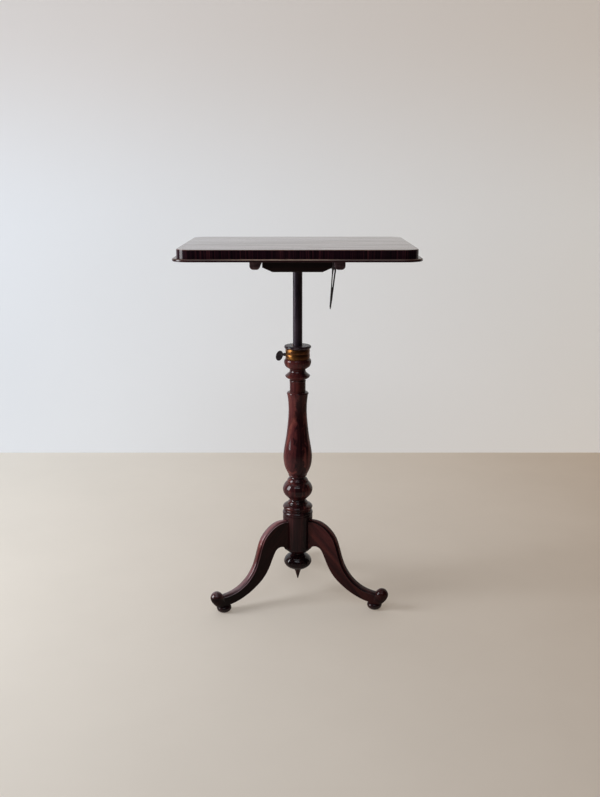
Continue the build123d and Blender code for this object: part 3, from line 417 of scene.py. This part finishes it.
bearer = wood("bearer_hardwood", grain=(0.0, HALF, 0.0), pith=(0.03, 0.09), rings=150.0, warp=0.006,
              dark=(0.008, 0.004, 0.005), mid=(0.022, 0.009, 0.009), light=(0.046, 0.019, 0.016), streak=0.4,
              coat=0.06, coat_rough=0.3, rough=(0.45, 0.65), bump=0.6, wear=0.2, seed=17.0, specular=0.15)
batten_wood = wood("batten_hardwood", grain=(HALF, 0.0, 0.0), pith=(0.03, 0.05), rings=210.0, warp=0.006,
                   dark=(0.030, 0.016, 0.021), mid=(0.105, 0.058, 0.067), light=(0.215, 0.128, 0.132), streak=0.4,
                   coat=0.15, coat_rough=0.22, rough=(0.40, 0.60), bump=0.6, wear=0.2, seed=19.0, specular=0.15)

brass = metal("aged_brass", (0.36, 0.155, 0.036), (0.10, 0.038, 0.020), rough=(0.30, 0.44), streak_axis=(1.0, 1.0, 5.0), scale=90.0,
              spots=0.6, spot_colour=(0.035, 0.016, 0.008), edge=(0.70, 0.44, 0.16), edge_mix=0.4, crevice=0.9)
rod_steel = metal("patinated_steel", (0.050, 0.034, 0.044), (0.018, 0.012, 0.020), rough=(0.28, 0.42), streak_axis=(1.0, 1.0, 0.18),
                  scale=120.0, spots=0.45, spot_colour=(0.034, 0.017, 0.015), crevice=0.0, metallic=0.32, specular=0.2)
iron = metal("blackened_iron", (0.075, 0.060, 0.066), (0.038, 0.029, 0.034), rough=(0.34, 0.6), scale=160.0, spots=0.4,
             spot_colour=(0.044, 0.022, 0.016), edge=(0.30, 0.27, 0.27), edge_mix=0.6, metallic=0.55, specular=0.3)
# the top's polish is thinner in long streaks with the grain
vt = veneer.node_tree
v_bsdf = [n for n in vt.nodes if n.type == "BSDF_PRINCIPLED"][0]
v_coord = [n for n in vt.nodes if n.type == "TEX_COORD"][0]
v_long = node(vt, "ShaderNodeVectorMath", operation="MULTIPLY")
v_long.inputs[1].default_value = (1.3, 17.0, 1.0)
link(vt, v_coord.outputs["Object"], v_long.inputs[0])
v_thin = node(vt, "ShaderNodeMapRange", interpolation_type="SMOOTHSTEP")
for key, value in (("From Min", 0.34), ("From Max", 0.64), ("To Min", 0.76), ("To Max", 0.96)):
    v_thin.inputs[key].default_value = value
link(vt, noise(vt, v_long.outputs[0], 3.2, 4.0, 0.62, 0.5), v_thin.inputs["Value"])
link(vt, v_thin.outputs[0], v_bsdf.inputs["Coat Weight"])

# painted shade: the band is darker on its right, the side away from the window, with a wavering edge
bt = brass.node_tree
b_bsdf = [n for n in bt.nodes if n.type == "BSDF_PRINCIPLED"][0]
b_coord = [n for n in bt.nodes if n.type == "TEX_COORD"][0]
b_sep = node(bt, "ShaderNodeSeparateXYZ")
link(bt, b_coord.outputs["Object"], b_sep.inputs[0])
b_drift = noise(bt, b_coord.outputs["Object"], 75.0, 3.0, 0.6)
b_pos = math_node(bt, "ADD", b_sep.outputs[0], math_node(bt, "MULTIPLY", math_node(bt, "SUBTRACT", b_drift, 0.5), 0.022))
brass_right_shade = node(bt, "ShaderNodeMapRange", interpolation_type="SMOOTHSTEP")
for key, value in (("From Min", -0.012), ("From Max", 0.006), ("To Min", 0.0), ("To Max", 0.72)):
    brass_right_shade.inputs[key].default_value = value
link(bt, b_pos, brass_right_shade.inputs["Value"])
b_from = b_bsdf.inputs["Base Color"].links[0].from_socket
link(bt, mix_rgb(bt, brass_right_shade.outputs[0], b_from, (0.050, 0.020, 0.016)), b_bsdf.inputs["Base Color"])

# hands have rubbed the middle of the front lip
# painted highlight: a light warm line along the top of the front lip, strongest at the middle
mt = moulding.node_tree
m_bsdf = [n for n in mt.nodes if n.type == "BSDF_PRINCIPLED"][0]
m_coord = [n for n in mt.nodes if n.type == "TEX_COORD"][0]
m_sep = node(mt, "ShaderNodeSeparateXYZ")
link(mt, m_coord.outputs["Object"], m_sep.inputs[0])
m_far = math_node(mt, "ABSOLUTE", math_node(mt, "ADD", m_sep.outputs[0], 0.035))
m_mid = node(mt, "ShaderNodeMapRange", interpolation_type="SMOOTHSTEP")
for key, value in (("From Min", 0.02), ("From Max", 0.15), ("To Min", 0.95), ("To Max", 0.20)):
    m_mid.inputs[key].default_value = value
link(mt, m_far, m_mid.inputs["Value"])
m_low = node(mt, "ShaderNodeMapRange", interpolation_type="SMOOTHSTEP")
for key, value in (("From Min", 0.7956), ("From Max", 0.7968), ("To Min", 0.0), ("To Max", 1.0)):
    m_low.inputs[key].default_value = value
link(mt, m_sep.outputs[2], m_low.inputs["Value"])
lip_painted_highlight = math_node(mt, "MULTIPLY", math_node(mt, "MULTIPLY", m_mid.outputs[0], m_low.outputs[0]),
                  ramp(mt, noise(mt, m_coord.outputs["Object"], 60.0, 3.0, 0.6), [(0.30, grey(0.6)), (0.6, grey(1.0))]))
m_from = m_bsdf.inputs["Base Color"].links[0].from_socket
link(mt, mix_rgb(mt, lip_painted_highlight, m_from, (0.46, 0.30, 0.21)), m_bsdf.inputs["Base Color"])

screw_steel = metal("screw_steel", (0.20, 0.18, 0.17), (0.10, 0.085, 0.080), rough=(0.35, 0.6), scale=300.0, spots=0.6,
                    spot_colour=(0.06, 0.030, 0.018), edge=(0.4, 0.37, 0.34))

finish_of = {
    "baluster": turned, "upper_column": upper_wood, "collar_cap": cap_wood, "hub": hub_wood, "pendant": hub_wood,
    "foot_left": foot_wood, "foot_right": foot_wood, "foot_rear": foot_wood,
    "leg_left": leg_mats["leg_left"], "leg_right": leg_mats["leg_right"], "leg_rear": leg_mats["leg_rear"],
    "top_veneer": veneer, "edge_banding": banding, "lip_moulding": moulding, "top_board": ground,
    "block": bearer, "batten_left": batten_wood, "batten_right": batten_wood,
    "collar_band": brass, "rod_bush": brass, "clamp_pad": brass,
    "rod": rod_steel, "rod_washer": rod_steel, "rod_nut": rod_steel,
    "thumb_screw": iron, "prop": iron, "prop_bracket": iron, "prop_pin": iron, "rack_plate": iron,
    "rack_screws": screw_steel, "pivot_screws": screw_steel, "batten_screws": screw_steel, "bracket_screws": screw_steel,
}
for name, obj in nodes.items():
    obj.data.materials.clear()
    obj.data.materials.append(finish_of[name])


# --------------------------------------------------------------- camera, stage
cam_data = bpy.data.cameras.new("camera")
cam = bpy.data.objects.new("camera", cam_data)
scene.collection.objects.link(cam)
cam_data.lens = 42.0
cam_data.sensor_width = 36.0
cam.location = (0.0052, AXIS_Y - 2.03, 0.9643)
cam.rotation_euler = (math.radians(90.0 - 13.69), 0.0, 0.0)
scene.camera = cam


def stage_material(name, colour, rough, variation=0.04, scale=3.0):
    mat, t = new_material(name)
    out = node(t, "ShaderNodeOutputMaterial")
    bsdf = node(t, "ShaderNodeBsdfPrincipled")
    link(t, bsdf.outputs[0], out.inputs[0])
    coord = node(t, "ShaderNodeTexCoord")
    n = noise(t, coord.outputs["Object"], scale, 4.0, 0.6)
    col = mix_rgb(t, ramp(t, n, [(0.35, grey(0.0)), (0.65, grey(1.0))]), tuple(c * (1 - variation) for c in colour), colour)
    link(t, col, bsdf.inputs["Base Color"])
    bsdf.inputs["Roughness"].default_value = rough
    bsdf.inputs["Specular IOR Level"].default_value = 0.08
    return mat


def mesh_object(name, verts, faces, smooth=False):
    me = bpy.data.meshes.new(name)
    me.from_pydata(verts, [], faces)
    me.update()
    if smooth:
        for poly in me.polygons:
            poly.use_smooth = True
    ob = bpy.data.objects.new(name, me)
    scene.collection.objects.link(ob)
    return ob


def glow(mat, left, right, x0, x1, strength, near=None):
    """Painted light: a glow added to a stage surface, which is no lamp, running from left to right."""
    t = mat.node_tree
    bsdf = [n for n in t.nodes if n.type == "BSDF_PRINCIPLED"][0]
    coord = [n for n in t.nodes if n.type == "TEX_COORD"][0]
    sep = node(t, "ShaderNodeSeparateXYZ")
    link(t, coord.outputs["Object"], sep.inputs[0])
    span = node(t, "ShaderNodeMapRange")
    span.inputs["From Min"].default_value = x0
    span.inputs["From Max"].default_value = x1
    link(t, sep.outputs[0], span.inputs["Value"])
    glowing = ramp(t, span.outputs[0], [(0.0, left), (1.0, right)])
    if near is not None:
        # painted shade: the surface's colour and glow are darkened towards the viewer, in front of what the camera sees
        fade = node(t, "ShaderNodeMapRange", interpolation_type="SMOOTHSTEP")
        fade.inputs["From Min"].default_value = near[1]
        fade.inputs["From Max"].default_value = near[0]
        fade.inputs["To Min"].default_value = 0.38
        fade.inputs["To Max"].default_value = 1.0
        link(t, sep.outputs[1], fade.inputs["Value"])
        dim = node(t, "ShaderNodeVectorMath", operation="SCALE")
        link(t, glowing, dim.inputs[0])
        link(t, fade.outputs[0], dim.inputs["Scale"])
        glowing = dim.outputs[0]
        base = bsdf.inputs["Base Color"].links[0].from_socket
        dim2 = node(t, "ShaderNodeVectorMath", operation="SCALE")
        link(t, base, dim2.inputs[0])
        link(t, fade.outputs[0], dim2.inputs["Scale"])
        link(t, dim2.outputs[0], bsdf.inputs["Base Color"])
    link(t, glowing, bsdf.inputs["Emission Color"])
    bsdf.inputs["Emission Strength"].default_value = strength


def dim_by_window(mat):
    """Painted shade: close under the window, left of what the camera sees, the floor's colour and glow are darkened."""
    t = mat.node_tree
    bsdf = [n for n in t.nodes if n.type == "BSDF_PRINCIPLED"][0]
    coord = [n for n in t.nodes if n.type == "TEX_COORD"][0]
    sep = node(t, "ShaderNodeSeparateXYZ")
    link(t, coord.outputs["Object"], sep.inputs[0])
    side = math_node(t, "ADD", sep.outputs[0], math_node(t, "MULTIPLY", sep.outputs[1], 0.32))
    fade = node(t, "ShaderNodeMapRange", interpolation_type="SMOOTHSTEP")
    for key, value in (("From Min", -1.45), ("From Max", -0.72), ("To Min", 0.34), ("To Max", 1.0)):
        fade.inputs[key].default_value = value
    link(t, side, fade.inputs["Value"])
    for socket in ("Base Color", "Emission Color"):
        before = bsdf.inputs[socket].links[0].from_socket
        dim = node(t, "ShaderNodeVectorMath", operation="SCALE")
        link(t, before, dim.inputs[0])
        link(t, fade.outputs[0], dim.inputs["Scale"])
        link(t, dim.outputs[0], bsdf.inputs[socket])


floor = mesh_object("floor", [(-2.3, -2.8, 0), (3.0, -2.8, 0), (3.0, AXIS_Y + 1.12, 0), (-2.3, AXIS_Y + 1.12, 0)], [(0, 1, 2, 3)])
floor.data.materials.append(stage_material("pale_floor", (0.540, 0.500, 0.448), 0.75))
glow(floor.data.materials[0], (1.0, 0.97, 0.90), (0.44, 0.25, 0.10), -1.2, 1.2, 0.31, near=(-0.80, -2.00))
dim_by_window(floor.data.materials[0])

wall_y = AXIS_Y + 1.12
wall = mesh_object("wall", [(-2.3, wall_y, 0), (3.0, wall_y, 0), (3.0, wall_y, 3.4), (-2.3, wall_y, 3.4)], [(0, 1, 2, 3)])
wall_mat = stage_material("pale_wall", (0.73, 0.74, 0.75), 0.8, 0.02, 1.0)
glow(wall_mat, (0.24, 0.26, 0.30), (0.50, 0.46, 0.41), -1.0, 1.0, 0.62)
wt = wall_mat.node_tree
# seen from behind or from below the wall and the floor are clear
for stage_mat in (wall_mat, floor.data.materials[0]):
    st = stage_mat.node_tree
    s_out = [n for n in st.nodes if n.type == "OUTPUT_MATERIAL"][0]
    s_bsdf = [n for n in st.nodes if n.type == "BSDF_PRINCIPLED"][0]
    s_geo = node(st, "ShaderNodeNewGeometry")
    s_clear = node(st, "ShaderNodeBsdfTransparent")
    s_mix = node(st, "ShaderNodeMixShader")
    link(st, s_geo.outputs["Backfacing"], s_mix.inputs[0])
    link(st, s_bsdf.outputs[0], s_mix.inputs[1])
    link(st, s_clear.outputs[0], s_mix.inputs[2])
    link(st, s_mix.outputs[0], s_out.inputs[0])
w_bsdf = [n for n in wt.nodes if n.type == "BSDF_PRINCIPLED"][0]
w_coord = [n for n in wt.nodes if n.type == "TEX_COORD"][0]
w_sep = node(wt, "ShaderNodeSeparateXYZ")
link(wt, w_coord.outputs["Object"], w_sep.inputs[0])
# painted shade: higher up, the wall's colour and glow are darker and warmer
wall_upper_shade = node(wt, "ShaderNodeMapRange", interpolation_type="SMOOTHSTEP")
for key, value in (("From Min", 0.75), ("From Max", 1.5)):
    wall_upper_shade.inputs[key].default_value = value
link(wt, w_sep.outputs[2], wall_upper_shade.inputs["Value"])
for socket in ("Base Color", "Emission Color"):
    before = w_bsdf.inputs[socket].links[0].from_socket
    link(wt, mix_rgb(wt, wall_upper_shade.outputs[0], before, (0.890, 0.820, 0.760), "MULTIPLY"), w_bsdf.inputs[socket])
wall.data.materials.append(wall_mat)


# ---------------------------------------------------------------------- lights
def area(name, place, target, width, height, power, colour):
    data = bpy.data.lights.new(name, "AREA")
    data.shape = "RECTANGLE"
    data.size = width
    data.size_y = height
    data.energy = power
    data.color = colour
    ob = bpy.data.objects.new(name, data)
    ob.location = place
    ob.rotation_euler = (Vector(target) - Vector(place)).to_track_quat("-Z", "Y").to_euler()
    ob.visible_camera = False
    scene.collection.objects.link(ob)
    return ob


area("window", (-2.2, -0.45, 1.1), (0.0, -0.25, 0.75), 1.0, 1.6, 47.0, (0.93, 0.96, 1.0))
area("high_window", (-0.30, -2.5, 2.5), (0.0, 0.0, 0.45), 2.2, 0.45, 11.0, (0.86, 0.92, 1.0))
area("overhead", (-0.4, -0.2, 2.9), (0.0, 0.2, 0.0), 2.6, 2.0, 17.0, (0.92, 0.95, 1.0))

world = bpy.data.worlds.new("soft_room")
world.use_nodes = True
bg = [n for n in world.node_tree.nodes if n.type == "BACKGROUND"][0]
bg.inputs[0].default_value = (0.80, 0.79, 0.80, 1.0)
bg.inputs[1].default_value = 0.03
# the room lights the stand a little and is seen as a pale backdrop
wtree = world.node_tree
w_out = [n for n in wtree.nodes if n.type == "OUTPUT_WORLD"][0]
pale = node(wtree, "ShaderNodeBackground")
pale.inputs[0].default_value = (0.70, 0.69, 0.67, 1.0)
pale.inputs[1].default_value = 0.85
ray = node(wtree, "ShaderNodeLightPath")
either = node(wtree, "ShaderNodeMixShader")
link(wtree, ray.outputs["Is Camera Ray"], either.inputs[0])
link(wtree, bg.outputs[0], either.inputs[1])
link(wtree, pale.outputs[0], either.inputs[2])
link(wtree, either.outputs[0], w_out.inputs[0])
scene.world = world
scene.view_settings.view_transform = "Standard"
scene.view_settings.exposure = 0.0
